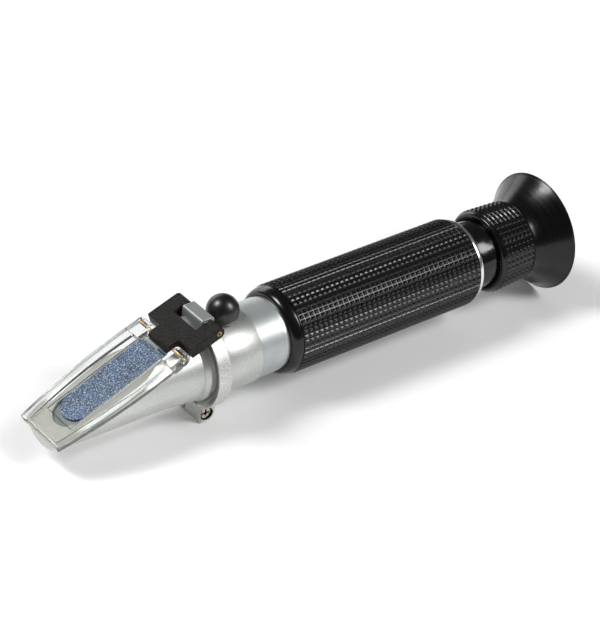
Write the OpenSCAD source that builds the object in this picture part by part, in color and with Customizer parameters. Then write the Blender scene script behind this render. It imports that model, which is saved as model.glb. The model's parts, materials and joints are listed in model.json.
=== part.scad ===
// Hand-held Brix refractometer.
// The barrel lies along X: the measuring prism is at the low-X end, the eyecup at the high-X end.
// Z is up, on the side of the daylight plate. The origin is under the middle of the barrel.
// Profiles of turned pieces are lists of [radius, distance from the plate's nose edge].

/* [Barrel] */
// Plate's nose edge to the front of the clamp ring
nose_len = 55; // [54:0.5:58]
// Width of the clamp ring
ring_w = 5.5; // [5.2:0.1:6.5]
// Silver collar that shows behind the clamp ring
collar_len = 13.7; // [13.5:0.1:18]
// Label band
label_len = 9.4; // [6:0.1:14]
// Bare tube that shows between the label band and the grip
label_gap = 1.6; // [0:0.1:3]
// Rubber grip
grip_len = 76.8; // [74:0.1:90]
// Bright ring behind the grip
end_ring_w = 1.7; // [1.6:0.1:3]
// Neck that shows between the bright ring and the focus ring
neck_gap = 8.7; // [7.5:0.1:10]
// Focus ring
focus_w = 14.1; // [13.5:0.1:17]
// Eyecup behind the focus ring
cup_len = 11.7; // [9:0.1:15]

/* [Front body] */
// Radius of the round underside
body_r = 10.6; // [10.3:0.1:11]
// Radius where the body meets the collar
shoulder_r = 11.6; // [11.3:0.1:12]
// Distance of the body's nose behind the plate's nose edge
nose_setback = 1.6; // [0.8:0.1:3]
// Chamfer round the nose
nose_chamfer = 0.6; // [0.2:0.1:1]
// Length of the widening in front of the shoulder
flare_len = 13; // [8:0.5:16]
// Length of the spigot inside the collar
spigot_len = 9.3; // [6:0.1:10]
// Radius of the light passage
light_bore_r = 8.2; // [7.5:0.1:8.5]
// Thickness of the light stop
stop_t = 0.8; // [0.5:0.1:1.5]
// Radius of the hole in the light stop
stop_hole_r = 4.5; // [3:0.1:6]

/* [Measuring prism] */
// Slope of the deck and the plate, in degrees
deck_angle = 23; // [22:0.5:24]
// Depth of the deck under the plate's top
deck_drop = 2.4; // [2.3:0.1:2.8]
// Half the width of the prism
prism_half_w = 5.45; // [4.6:0.05:5.5]
// Depth of the prism's underside below the barrel's axis
prism_depth = 7.8; // [6:0.1:8]
// Distance of the prism's round front end behind the pad's front edge
prism_setback = 1.6; // [1:0.1:3]
// Distance of the pocket's round front end before the pad's front edge
pocket_lead = 1.3; // [0.6:0.1:2]
// Wall of the seat behind the prism
seat_wall = 0.5; // [0.4:0.1:0.8]
// Wall of the seat beside the prism
seat_side_wall = 0.45; // [0.4:0.05:0.8]
// Length of the raised seat
seat_len = 17; // [14:0.5:22]
// Thickness of the seal under the prism
seal_t = 0.3; // [0.2:0.05:0.4]
// Depth of the seal's top below the deck at the front end
seal_drop = 0.9; // [0.5:0.1:1.5]

/* [Daylight plate] */
// Height of the plate's top above its hinge axis, and the radius of its lugs
plate_h = 2; // [1.9:0.05:2.1]
// Thickness of the clear panel
panel_t = 1.2; // [1:0.1:1.4]
// Overhang of the plate beside the round body, at its widest
plate_overhang = 1.3; // [1:0.1:1.8]
// Radius of the plate's bowed long edges
plate_bow_r = 210; // [180:5:300]
// Distance of the widest place from the hinge axis
plate_bow_at = 14; // [10:0.5:18]
// Width of the thick side walls
rim_w = 2.6; // [2:0.1:3]
// Width of the front wall
rim_front_w = 1.2; // [0.8:0.1:2]
// Depth of the walls at the nose
rim_nose_d = 2.1; // [1.8:0.05:2.1]
// Depth of the walls at the lugs
rim_lug_d = 3.4; // [3:0.1:3.6]
// Length of the lugs before the hinge axis
lug_len = 4.6; // [4:0.1:6]
// Distance of the panel's rear edge before the hinge axis
panel_gap = 2.6; // [2.4:0.1:3.5]
// Overlap of the contact pad beside the prism
pad_overlap = 0.35; // [0:0.05:0.4]
// Length of the contact pad
pad_len = 34.8; // [30:0.2:36]
// Distance of the pad's rear edge before the hinge axis
pad_gap = 4.7; // [4:0.1:6]
// Space for the sample between the pad and the prism
film_gap = 0.1; // [0.05:0.05:0.2]
// Radius of the plate's hinge pin
plate_pin_r = 0.6; // [0.5:0.05:0.8]

/* [Hinge] */
// Wall of the clamp ring
ring_wall = 2.8; // [2.5:0.1:3.2]
// Chamfer on the clamp ring's outer edges
ring_chamfer = 0.4; // [0.2:0.1:0.8]
// Width of the funnel in the clamp ring's mouth
ring_mouth = 1.5; // [1:0.1:1.8]
// Depth of the flat on top of the clamp ring
ring_flat_d = 1.3; // [1.2:0.05:1.5]
// Height of the roll pin above the clamp ring's outer radius
roll_pin_lift = 1.7; // [1.6:0.1:2.2]
// Distance of the roll pin behind the clamp ring's front
roll_pin_set = 1.8; // [1.8:0.1:2.4]
// Outer radius of the roll pin
roll_pin_r = 0.8; // [0.7:0.05:1]
// Wall of the rolled pin
roll_pin_wall = 0.28; // [0.2:0.02:0.4]
// Slit of the rolled pin
roll_pin_slit = 0.3; // [0.2:0.05:0.5]
// Slope of the hinge arm, in degrees
arm_angle = 20; // [19:0.5:21]
// Distance between the two hinge axes
link_len = 13.7; // [13.4:0.1:14]
// Thickness of the hinge arm
arm_t = 3.8; // [3.4:0.1:4]
// Half the width of the hinge arm
arm_half_w = 10.8; // [10:0.1:11.2]
// Length of the wide part before the roll pin
arm_len = 10.8; // [9:0.1:11]
// Half the width of the front tongue
tongue_half_w = 4.8; // [4:0.1:5.8]
// Half the width of the notch at the rear
notch_half_w = 5.4; // [5.3:0.1:6]
// Length of the notch before the roll pin
notch_len = 4.7; // [3.6:0.1:5.5]
// Half the width of the steel strap
strap_half_w = 4.9; // [4.4:0.1:5]
// Sheet thickness of the strap
strap_t = 0.7; // [0.5:0.05:0.8]
// Width of the knuckle that carries the roll pin
knuckle_w = 3.2; // [2.8:0.1:3.3]
// Height of the knuckle above the roll pin's axis
knuckle_h = 1.15; // [1.1:0.05:1.3]
// Depth of the strap's feet in the clamp ring, below its flat
strap_foot = 0.7; // [0.4:0.1:1]

/* [Clamp] */
// Half the width of the two ears together
ear_half_w = 8.5; // [7.5:0.1:9.5]
// Distance of the screw's axis below the ring's bore
ear_screw_drop = 2.8; // [2.7:0.1:3.6]
// Round back of the ears
ear_r = 2.9; // [2.6:0.1:3]
// Distance of the screw's axis behind the clamp ring's front
ear_screw_set = 2.3; // [2.2:0.1:2.5]
// Slit between the ears
ear_slit = 0.6; // [0.4:0.1:1]
// Radius of the clamp screw's shank
clamp_screw_r = 0.9; // [0.7:0.05:1]
// Radius of the clamp screw's head
clamp_head_r = 1.85; // [1.6:0.05:1.9]
// Height of the clamp screw's head
clamp_head_h = 1.2; // [0.9:0.1:1.5]
// Depth of the counterbore
counterbore_d = 1.9; // [1.6:0.1:2.4]
// Gap round the head in its counterbore
counterbore_gap = 0.35; // [0.2:0.05:0.4]

/* [Collar and objective] */
// Length of the collar's bright front cone
cone_len = 1.8; // [1.2:0.1:2]
// Rise of the cone from its front edge
cone_rise = 1.05; // [0.8:0.05:1.2]
// Length of the cone's lead before the clamp ring
cone_lead = 2.2; // [2.1:0.1:2.6]
// Step from the clamp ring's seat up to the collar behind it
collar_step = 0.25; // [0.15:0.05:0.4]
// Step of the tube's front spigot
spigot_step = 0.5; // [0.4:0.05:0.7]
// Wall of the collar round the front body's spigot
collar_front_wall = 2.15; // [2:0.05:2.3]
// Wall of the collar round the objective
collar_rear_wall = 1.6; // [1.4:0.05:1.8]
// Gap round the lens carrier, for its small tilt
carrier_gap = 1.5; // [1.4:0.05:1.7]
// Width of the lens carrier
carrier_w = 5.6; // [5:0.1:6]
// Wall of the lens carrier
carrier_wall = 1.8; // [1.5:0.05:2]
// Lip that the objective rests on
carrier_lip = 0.8; // [0.6:0.1:1.2]
// Thickness of the objective at its middle
objective_t = 3.4; // [3:0.1:3.6]
// Radius of the objective's faces
objective_face_r = 30; // [26:1:40]
// Width of the ring that holds the objective
lens_ring_w = 0.9; // [0.6:0.1:1.2]

/* [Calibration] */
// Distance of the calibration screw behind the clamp ring
screw_set = 5.8; // [5.6:0.1:6.2]
// Radius of the rubber ball cap
cap_r = 5.2; // [4.8:0.1:5.5]
// Height of the ball's middle above the collar
cap_lift = 3.05; // [2.6:0.05:3.4]
// Radius of the bush's collar, which the cap grips
bush_collar_r = 2.6; // [2.3:0.1:2.9]
// Radius of the bush in the collar's wall
bush_r = 2; // [1.8:0.1:2.2]
// Height of the bush above its seat
bush_h = 1.6; // [1.2:0.1:1.8]
// Depth of the bush's seat below the collar's crown
bush_seat_d = 0.3; // [0.2:0.05:0.4]
// Radius of the calibration screw
cal_screw_r = 1.25; // [1:0.05:1.4]
// Radius of its head
cal_head_r = 1.7; // [1.5:0.05:2]
// Height of its head
cal_head_h = 1; // [0.8:0.1:1.2]
// Gap from the screw's tip to the lens carrier
cal_tip_gap = 0.55; // [0.5:0.05:0.7]

/* [Compensating strip] */
// Thickness of the strip
strip_t = 0.6; // [0.4:0.05:0.8]
// Half the width of the strip
strip_half_w = 2.5; // [2:0.1:3]
// Depth of the strip's middle below the lens carrier's rim
strip_inset = 0.8; // [0.7:0.05:1]
// Distance from the calibration screw to the strip's clamped place
strip_reach = 23.2; // [20:0.1:26]
// Distance between the two strip screws
strip_screw_pitch = 4; // [3.6:0.1:5]
// Radius of a strip screw's shank
strip_screw_r = 0.7; // [0.6:0.05:0.8]
// Radius of a strip screw's head
strip_head_r = 1.3; // [1.1:0.05:1.4]
// Play of the strip in its clamp
strip_play = 0.12; // [0.1:0.01:0.2]

/* [Tube and grip] */
// Wall of the main tube
tube_wall = 1.4; // [1.2:0.05:1.5]
// Length of the tube's front spigot in the collar
tube_spigot_len = 3.5; // [2.5:0.1:3.6]
// Thickness of the label band
label_t = 0.2; // [0.1:0.05:0.3]
// Wall of the grip over its knurl
grip_wall = 2.85; // [2.2:0.05:3.2]
// Step from the grip's smooth front band up to its knurl
grip_step = 0.35; // [0.1:0.05:0.5]
// Length of the smooth front band
grip_band_len = 3.4; // [3:0.1:6]
// Wall of the grip at its front edge
grip_lip_wall = 0.8; // [0.5:0.05:1.2]
// Rise of the bright end ring above the tube
end_ring_rise = 2.2; // [1.8:0.1:2.5]
// Chamfer behind the bright end ring
end_ring_chamfer = 0.3; // [0.2:0.1:0.5]
// Length of the tube's thread in the end ring
end_thread_len = 1; // [0.8:0.1:1.2]
// Wall of the tube inside that thread
end_thread_wall = 0.6; // [0.5:0.05:0.9]

/* [Scale] */
// Distance of the scale holder's front before the end ring
scale_set = 17; // [16:0.5:20]
// Width of the scale holder
scale_holder_w = 6; // [5:0.1:7]
// Wall of the scale holder
scale_holder_wall = 0.9; // [0.7:0.1:1.2]
// Thickness of the scale disc
scale_t = 1.5; // [1:0.1:2]
// Width of the ring that holds the disc
scale_ring_w = 1.2; // [0.8:0.1:1.6]

/* [Eyepiece] */
// Wall of the neck under the focus ring
neck_wall = 2; // [1.8:0.05:2.1]
// Wall of the neck inside the tube
neck_root_wall = 1; // [0.8:0.05:1.1]
// Length of the neck inside the tube
neck_root_len = 9.5; // [9:0.1:10]
// Length of the neck under the focus ring
neck_thread_len = 6.2; // [5:0.1:6.2]
// Radius of the lens barrel
barrel_r = 9.25; // [9:0.05:9.3]
// Wall of the lens barrel
barrel_wall = 1.05; // [0.95:0.05:1.15]
// Lip at the front of the lens barrel
barrel_lip = 0.8; // [0.6:0.1:1]
// Length of the lens barrel before the focus ring's web
barrel_lead = 26.5; // [26:0.1:26.6]
// Rise of the barrel's rear flange
flange_rise = 0.75; // [0.6:0.05:0.9]
// Width of the barrel's rear flange
flange_w = 1.8; // [1.5:0.1:2]
// Thickness of the field lens
field_lens_t = 3; // [2.6:0.1:3.2]
// Thickness of the eye lens
eye_lens_t = 4; // [3.6:0.1:4.4]
// Radius of the eyepiece lenses' faces
eye_face_r = 28; // [26:1:40]
// Wall of the spacer between the lenses
spacer_wall = 0.65; // [0.5:0.05:0.9]
// Width of the eye lens's ring
eye_ring_w = 1.2; // [1:0.1:1.4]
// Wall of the eye lens's ring
eye_ring_wall = 1.5; // [1:0.1:2]
// Radius of the guide key
key_r = 0.8; // [0.6:0.05:1]
// Focus travel each way
focus_travel = 2.5; // [1.5:0.1:2.5]
// Thickness of the clip before the focus ring's web
clip_t = 0.8; // [0.6:0.1:0.9]
// Rise of the clip above the barrel
clip_rise = 1.05; // [0.8:0.05:1.3]
// Depth of the clip's groove in the barrel
clip_groove = 0.3; // [0.2:0.05:0.4]

/* [Focus ring and eyecup] */
// Wall of the focus ring over its knurl at the front
focus_wall = 2.75; // [2.4:0.05:3]
// Taper of the focus ring towards the eyecup
focus_taper = 0.6; // [0.2:0.1:0.8]
// Drop from the knurl to the smooth front lip
focus_lip_drop = 0.8; // [0.4:0.1:1]
// Width of its smooth front lip
focus_lip_w = 0.6; // [0.4:0.1:1]
// Width of the web that turns on the barrel
web_w = 2; // [1.6:0.1:2.2]
// Distance of the web's rear face before the eyecup
web_set = 2; // [1.9:0.1:2.2]
// Wall of the hub
hub_wall = 1.9; // [1.6:0.1:2]
// Length of the hub inside the eyecup
hub_len = 3; // [2.5:0.1:3.5]
// Radius of the eyecup's rim
cup_rim_r = 19.9; // [18.5:0.1:21]
// Wall of the eyecup at its waist
cup_waist_wall = 1.05; // [0.8:0.05:1.4]
// Wall of the eyecup at its rim
cup_rim_wall = 0.8; // [0.6:0.1:1.2]
// Lip of the eyecup behind the hub
cup_lip = 1.2; // [0.8:0.1:1.6]

/* [Hidden] */
$fn = 96;
// Facets of the drawn lens faces and of the plate's bowed edges
fine_fn = 360;

// Cuts run past the faces that they open by this much
overrun = 1;
// Gap between pieces that are seated in each other
seat_gap = 0.05;
// Gap of a shaft in its hole
run_gap = 0.05;
// Gap between pieces that move past each other
air_gap = 0.3;
// Depth of a screwdriver slot as a share of the head it is in
slot_depth_share = 0.5;
// Width of a screwdriver slot as a share of the head's radius
slot_w_share = 0.35;
// Steps of a flared outline, and how they crowd towards its narrow end
flare_steps = 12;
flare_crowding_share = 1.6;
// Bend of the eyecup's outside and inside: a lower share flares sooner
cup_outer_bend_share = 1.5;
cup_inner_bend_share = 0.85;
// Bend of the grip's round front edge
grip_bend_share = 0.4;

// Places along the barrel, from the plate's nose edge
ring_x = nose_len;
collar_x = ring_x + ring_w;
label_x = collar_x + collar_len;
grip_x = label_x + label_len + label_gap;
end_ring_x = grip_x + grip_len;
neck_x = end_ring_x + end_ring_w;
focus_x = neck_x + neck_gap;
cup_x = focus_x + focus_w;
total_len = cup_x + cup_len;
housing_x = ring_x - cone_lead;
spigot_end_x = housing_x + spigot_len;
screw_x = collar_x + screw_set;
strip_pivot_x = screw_x + strip_reach;
carrier_x = screw_x - carrier_w / 2;

// Radii of the eyepiece and of the barrel, from the inside out
flange_r = barrel_r + flange_rise;
clip_r = barrel_r + clip_rise;
neck_root_r = barrel_r + run_gap + neck_root_wall;
neck_r = barrel_r + run_gap + neck_wall;
tube_bore_r = neck_root_r + 2 * seat_gap;
tube_r = tube_bore_r + tube_wall;
end_thread_r = tube_bore_r + end_thread_wall;
end_ring_r = tube_r + end_ring_rise;
grip_lip_r = tube_r + seat_gap + grip_lip_wall;
grip_r = tube_r + seat_gap + grip_wall;
grip_band_r = grip_r - grip_step;
focus_r = neck_r + run_gap + focus_wall;
focus_rear_r = focus_r - focus_taper;
focus_lip_r = focus_r - focus_lip_drop;
hub_r = flange_r + air_gap + hub_wall;
cup_waist_r = hub_r + seat_gap + cup_waist_wall;
barrel_bore_r = barrel_r - barrel_wall;

// Radii of the collar and what it carries
objective_bore_r = tube_bore_r + spigot_step;
collar_rear_r = objective_bore_r + collar_rear_wall;
collar_r = collar_rear_r - collar_step;
cone_r = collar_r - cone_rise;
housing_bore_r = collar_r - collar_front_wall;
ring_bore_r = collar_r + seat_gap;
ring_r = ring_bore_r + ring_wall;
ring_flat_h = ring_r - ring_flat_d;
ear_screw_h = ring_bore_r + ear_screw_drop;
carrier_r = objective_bore_r - carrier_gap;
carrier_bore_r = carrier_r - carrier_wall;
strip_h = carrier_r - strip_inset;
bush_seat_z = collar_rear_r - bush_seat_d;

// Places of the hinge
roll_pin_x = ring_x + roll_pin_set;
roll_pin_z = ring_r + roll_pin_lift;
front_pin_x = roll_pin_x - link_len * cos(arm_angle);
front_pin_z = roll_pin_z - link_len * sin(arm_angle);
hinge_flat_h = front_pin_z - arm_t / 2 - 2 * air_gap;

// Places in the plate's own frame, where x is 0 at its hinge axis and negative towards the nose
plate_reach = (front_pin_x - plate_h * sin(deck_angle)) / cos(deck_angle);
deck_z = plate_h - deck_drop;
pad_front = pad_gap + pad_len;
seat_rear = arm_t / 2 + 2 * air_gap;
prism_rear_x = front_pin_x - (seat_rear + seat_wall) * cos(deck_angle);
pocket_half_w = prism_half_w + 2 * seat_gap;
seat_half_w = pocket_half_w + seat_side_wall;
lug_gap_half_w = seat_half_w + air_gap;
pad_half_w = prism_half_w + pad_overlap;
plate_half_w = body_r + plate_overhang;

// Places in the eyepiece
web_rear_x = cup_x - web_set;
web_x = web_rear_x - web_w;
barrel_x = web_x - barrel_lead;
barrel_rear_x = web_rear_x + seat_gap + flange_w;
eye_ring_x = barrel_rear_x - eye_ring_w;
eye_lens_x = eye_ring_x - eye_lens_t;
field_lens_x = barrel_x + barrel_lip;
key_x = barrel_x + focus_travel + 2 * key_r + 2 * air_gap + barrel_lip;
scale_x = end_ring_x - scale_set;

// Stands the barrel on the eyecup's rim, with the origin under its middle
module seated() {
    translate([-total_len / 2, 0, cup_rim_r]) children();
}

// A body of revolution round the barrel's axis, from a profile of [radius, place]
module turned(profile) {
    rotate([0, 90, 0]) rotate_extrude() polygon(profile);
}

// A plain tube round the barrel's axis
module tube(x, len, r, bore_r) {
    turned([[bore_r, x], [r, x], [r, x + len], [bore_r, x + len]]);
}

// A solid rod along the barrel's axis
module rod(x, len, r) {
    translate([x, 0, 0]) rotate([0, 90, 0]) cylinder(h = len, r = r);
}

// A rod across the barrel, from one side to the other
module cross_rod(half_len, r) {
    rotate([90, 0, 0]) cylinder(h = 2 * half_len, r = r, center = true);
}

// A box that is centred across the barrel and given by its low corner and its far corner
module centred_box(x0, x1, half_w, z0, z1) {
    translate([x0, -half_w, z0]) cube([x1 - x0, 2 * half_w, z1 - z0]);
}

// An outline in the XZ plane, given a width that is centred across the barrel
module side_cut(half_w, outline) {
    rotate([90, 0, 0]) linear_extrude(height = 2 * half_w, center = true) polygon(outline);
}

// The plate's frame: its hinge axis, turned to the deck's slope
module at_plate() {
    translate([front_pin_x, 0, front_pin_z]) rotate([0, -deck_angle, 0]) children();
}

// The hinge arm's frame: the roll pin's axis, turned to the arm's slope
module at_arm() {
    translate([roll_pin_x, 0, roll_pin_z]) rotate([0, -arm_angle, 0]) children();
}

// The compensating strip's clamped place
module at_strip() {
    translate([strip_pivot_x, 0, -strip_h]) children();
}

// The axis of the calibration screw
module at_screw() {
    translate([screw_x, 0, 0]) children();
}

// A biconvex lens along the barrel's axis
module lens(x, t, r, face_r) {
    middle = x + t / 2;
    intersection() {
        rod(x - overrun, t + 2 * overrun, r);
        translate([middle + face_r - t / 2, 0, 0]) sphere(r = face_r, $fn = fine_fn);
        translate([middle - face_r + t / 2, 0, 0]) sphere(r = face_r, $fn = fine_fn);
    }
}

// Radii of a flared outline between two places, crowded where it bends most
function flare(x0, x1, r0, r1, bend_share) = [
    for (i = [0 : flare_steps])
        let (t = pow(i / flare_steps, flare_crowding_share))
        [r0 + (r1 - r0) * pow(t, bend_share), x0 + (x1 - x0) * t]
];

function reversed(points) = [for (i = [len(points) - 1 : -1 : 0]) points[i]];

// Outline of the plate between its two bowed edges, seen from above its top
module plate_plan(inset) {
    bow_r = plate_bow_r - inset;
    bow_y = plate_bow_r - plate_half_w;
    intersection() {
        translate([-plate_bow_at, -bow_y]) circle(r = bow_r, $fn = fine_fn);
        translate([-plate_bow_at, bow_y]) circle(r = bow_r, $fn = fine_fn);
    }
}

// The side wall's outline, from the plate's top down to its sloping lower edge
module rim_side(extra, half_w) {
    side_cut(half_w, [
        [-plate_reach - extra, plate_h + extra],
        [-plate_reach - extra, plate_h - rim_nose_d - extra],
        [-lug_len + extra, plate_h - rim_lug_d - extra],
        [-lug_len + extra, plate_h + extra]
    ]);
}

// Oblong plan with a round front end, for the prism and its pocket
module prism_plan(front, half_w) {
    translate([-(front - half_w), 0]) circle(r = half_w);
    translate([-(front - half_w), -half_w]) square([front, 2 * half_w]);
}

// Space of the prism: the oblong plan down to a flat underside, cut square at the rear
module prism_space(front, half_w, top_z, depth, rear_x) {
    bottom_z = -2 * (body_r + prism_depth);
    intersection() {
        at_plate() translate([0, 0, bottom_z])
            linear_extrude(height = top_z - bottom_z) prism_plan(front, half_w);
        centred_box(-overrun, rear_x, body_r, -depth, 2 * body_r);
    }
}

module front_body() {
    outside = [
        [0, nose_setback],
        [body_r - nose_chamfer, nose_setback],
        [body_r, nose_setback + nose_chamfer],
        [body_r, housing_x - flare_len],
        [(body_r + shoulder_r) / 2, housing_x - flare_len / 2],
        [shoulder_r, housing_x - 2 * seat_gap],
        [housing_bore_r - seat_gap, housing_x - 2 * seat_gap],
        [housing_bore_r - seat_gap, spigot_end_x],
        [0, spigot_end_x]
    ];
    color("silver") seated() difference() {
        union() {
            difference() {
                turned(outside);
                deck_cut();
                hinge_flat_cut();
            }
            at_plate() centred_box(-seat_rear - seat_len, -seat_rear, seat_half_w, -prism_depth, deck_z);
        }
        prism_space(pad_front + pocket_lead, pocket_half_w, 2 * body_r, prism_depth + seal_t,
            prism_rear_x + 2 * seat_gap);
        rod(prism_rear_x, spigot_end_x - prism_rear_x + overrun, light_bore_r);
        rim_rebate();
        lug_clearance();
    }
}

// All that lies above the deck, in front of the hinge
module deck_cut() {
    at_plate() centred_box(-plate_reach - overrun, -seat_rear, 2 * body_r, deck_z, deck_z + 4 * body_r);
}

// The flat under the hinge arm
module hinge_flat_cut() {
    centred_box(prism_rear_x, housing_x, 2 * body_r, hinge_flat_h, 2 * ring_r);
}

// Steps on both sides of the deck, which the plate's thick side walls stand in
module rim_rebate() {
    at_plate() intersection() {
        translate([0, 0, -plate_half_w]) linear_extrude(height = 2 * plate_half_w) difference() {
            translate([-plate_reach - overrun, -2 * plate_half_w]) square([plate_reach, 4 * plate_half_w]);
            plate_plan(rim_w + air_gap);
        }
        rim_side(air_gap, 2 * plate_half_w);
    }
}

// Room for the plate's lugs, on both sides of the seat
module lug_clearance() {
    at_plate() for (side = [-1, 1])
        translate([0, side * (seat_half_w + plate_half_w), 0])
            centred_box(-lug_len - 2 * air_gap, plate_h + 2 * air_gap, plate_half_w, -plate_h - air_gap, ring_r);
}

module measuring_prism() {
    color("steelblue") seated()
        prism_space(pad_front - prism_setback, prism_half_w, deck_z, prism_depth, prism_rear_x);
}

// Sheet of sealing compound under the prism, with the crescent that fills the pocket's front end
module prism_seal() {
    color("midnightblue") seated() difference() {
        prism_space(pad_front + pocket_lead - seat_gap, prism_half_w + seat_gap, deck_z - seal_drop,
            prism_depth + seal_t - seat_gap, prism_rear_x);
        prism_space(pad_front - prism_setback + seat_gap, prism_half_w + 2 * seat_gap, 2 * body_r,
            prism_depth + seat_gap, prism_rear_x + overrun);
    }
}

module light_stop() {
    stop_x = housing_x - flare_len / 2;
    color("dimgray") seated() tube(stop_x, stop_t, light_bore_r - seat_gap, stop_hole_r);
}

module objective_housing() {
    outside = [
        [housing_bore_r, housing_x],
        [cone_r, housing_x],
        [collar_r, housing_x + cone_len],
        [collar_r, collar_x + seat_gap],
        [collar_rear_r, collar_x + seat_gap],
        [collar_rear_r, label_x],
        [objective_bore_r, label_x],
        [objective_bore_r, spigot_end_x + seat_gap],
        [housing_bore_r, spigot_end_x + seat_gap]
    ];
    color("gainsboro") seated() difference() {
        turned(outside);
        at_screw() cylinder(h = ring_r, r = bush_r + seat_gap);
        at_screw() translate([0, 0, bush_seat_z]) cylinder(h = ring_r, r = bush_collar_r + air_gap);
    }
}

module clamp_ring() {
    section = [
        [ring_bore_r, ring_x + ring_mouth],
        [ring_bore_r + ring_mouth, ring_x],
        [ring_r - ring_chamfer, ring_x],
        [ring_r, ring_x + ring_chamfer],
        [ring_r, collar_x - ring_chamfer],
        [ring_r - ring_chamfer, collar_x],
        [ring_bore_r, collar_x]
    ];
    color("silver") seated() difference() {
        union() {
            difference() {
                union() {
                    turned(section);
                    clamp_ears();
                }
                centred_box(ring_x - overrun, collar_x + overrun, ring_r, ring_flat_h, 2 * ring_r);
                rod(ring_x - overrun, ring_w + 2 * overrun, ring_bore_r);
            }
            centred_box(roll_pin_x - knuckle_w / 2, roll_pin_x + knuckle_w / 2, strap_half_w,
                ring_flat_h - strap_foot, roll_pin_z + knuckle_h);
        }
        translate([roll_pin_x, 0, roll_pin_z]) cross_rod(arm_half_w, roll_pin_r + run_gap / 2);
        strap_slots();
        centred_box(ring_x - overrun, collar_x + overrun, ear_slit / 2, -2 * ring_r, -ring_bore_r + overrun);
        clamp_screw_hole();
    }
}

// The two ears under the clamp ring, in one piece before they are slit
module clamp_ears() {
    ear_x = ring_x + ear_screw_set;
    intersection() {
        union() {
            translate([ear_x, 0, -ear_screw_h]) cross_rod(ear_half_w, ear_r);
            centred_box(ring_x, ear_x, ear_half_w, -ear_screw_h - ear_r, -collar_r);
            centred_box(ring_x, ear_x + ear_r, ear_half_w, -ear_screw_h, -collar_r);
        }
        centred_box(ring_x, collar_x + ear_r, ear_half_w, -ear_screw_h - ear_r, -collar_r / 2);
    }
}

// Where the two feet of the strap go down before and behind the knuckle
module strap_slots() {
    for (side = [-1, 1])
        translate([roll_pin_x + side * (knuckle_w / 2 + strap_t / 2 + seat_gap), 0, 0])
            centred_box(-strap_t / 2 - seat_gap, strap_t / 2 + seat_gap, strap_half_w + seat_gap,
                ring_flat_h - strap_foot - seat_gap, ring_r);
}

module clamp_screw_hole() {
    translate([ring_x + ear_screw_set, 0, -ear_screw_h]) rotate([90, 0, 0]) {
        translate([0, 0, -ear_half_w - overrun])
            cylinder(h = 2 * ear_half_w + 2 * overrun, r = clamp_screw_r + seat_gap);
        translate([0, 0, ear_half_w - counterbore_d])
            cylinder(h = counterbore_d + overrun, r = clamp_head_r + counterbore_gap);
    }
}

module clamp_screw() {
    head_y = ear_half_w - counterbore_d;
    tip_y = -ear_half_w + clamp_screw_r;
    slot_d = clamp_head_h * slot_depth_share;
    slot_w = clamp_head_r * slot_w_share;
    color("lightgray") seated() translate([ring_x + ear_screw_set, 0, -ear_screw_h]) rotate([90, 0, 0])
        difference() {
            union() {
                translate([0, 0, tip_y]) cylinder(h = head_y - tip_y, r = clamp_screw_r);
                translate([0, 0, head_y + seat_gap]) cylinder(h = clamp_head_h - seat_gap, r = clamp_head_r);
                translate([0, 0, head_y - seat_gap]) cylinder(h = 2 * seat_gap, r = clamp_screw_r);
            }
            translate([0, 0, head_y + clamp_head_h]) for (turn = [0, 90])
                rotate([0, 0, turn]) cube([2 * clamp_head_r - slot_w, slot_w, 2 * slot_d], center = true);
        }
}

// Sheet steel bent over the knuckle like an upturned U
module hinge_strap() {
    inner_half = knuckle_w / 2 + seat_gap;
    outer_half = inner_half + strap_t;
    foot_z = ring_flat_h - strap_foot;
    top_z = roll_pin_z + knuckle_h + seat_gap + strap_t;
    color("lightsteelblue") seated() translate([roll_pin_x, 0, 0]) difference() {
        union() {
            centred_box(-outer_half, outer_half, strap_half_w, foot_z, top_z - strap_t);
            centred_box(-inner_half, inner_half, strap_half_w, foot_z, top_z);
            for (side = [-1, 1])
                translate([side * inner_half, 0, top_z - strap_t]) cross_rod(strap_half_w, strap_t);
        }
        centred_box(-inner_half, inner_half, 2 * strap_half_w, foot_z - overrun, top_z - strap_t);
    }
}

module hinge_roll_pin() {
    half_len = arm_half_w - seat_gap;
    color("goldenrod") seated() translate([roll_pin_x, 0, roll_pin_z]) difference() {
        cross_rod(half_len, roll_pin_r);
        cross_rod(half_len + overrun, roll_pin_r - roll_pin_wall);
        centred_box(-roll_pin_slit / 2, roll_pin_slit / 2, half_len + overrun, -2 * roll_pin_r, 0);
    }
}

// Matt black arm between the two hinges: ears on the roll pin, a tongue between the plate's lugs
module hinge_arm() {
    half_t = arm_t / 2;
    color("#262424") seated() at_arm() difference() {
        union() {
            centred_box(-arm_len, 0, arm_half_w, -half_t, half_t);
            cross_rod(arm_half_w, half_t);
            centred_box(-link_len, -arm_len + half_t, tongue_half_w, -half_t, half_t);
            translate([-link_len, 0, 0]) cross_rod(tongue_half_w, half_t);
        }
        centred_box(-notch_len, arm_t, notch_half_w, -arm_t, arm_t);
        cross_rod(arm_half_w + overrun, roll_pin_r + run_gap);
        translate([-link_len, 0, 0]) cross_rod(tongue_half_w + overrun, plate_pin_r + run_gap);
    }
}

module plate_hinge_pin() {
    color("orange") seated() at_plate() cross_rod(plate_half_w - 3 * air_gap, plate_pin_r);
}

// Clear tray with a contact pad inside and two lugs behind
module daylight_plate() {
    color("aliceblue", 0.4) seated() at_plate() difference() {
        union() {
            intersection() {
                linear_extrude(height = plate_h) difference() {
                    plate_plan(0);
                    translate([-panel_gap, -2 * plate_half_w]) square([plate_bow_r, 4 * plate_half_w]);
                }
                centred_box(-plate_reach, 0, 2 * plate_half_w, plate_h - panel_t, plate_h);
            }
            plate_rim();
            plate_lugs();
            centred_box(-pad_front, -pad_gap, pad_half_w, deck_z + film_gap, plate_h - panel_t / 2);
        }
        cross_rod(2 * plate_half_w, plate_pin_r + run_gap);
    }
}

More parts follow.
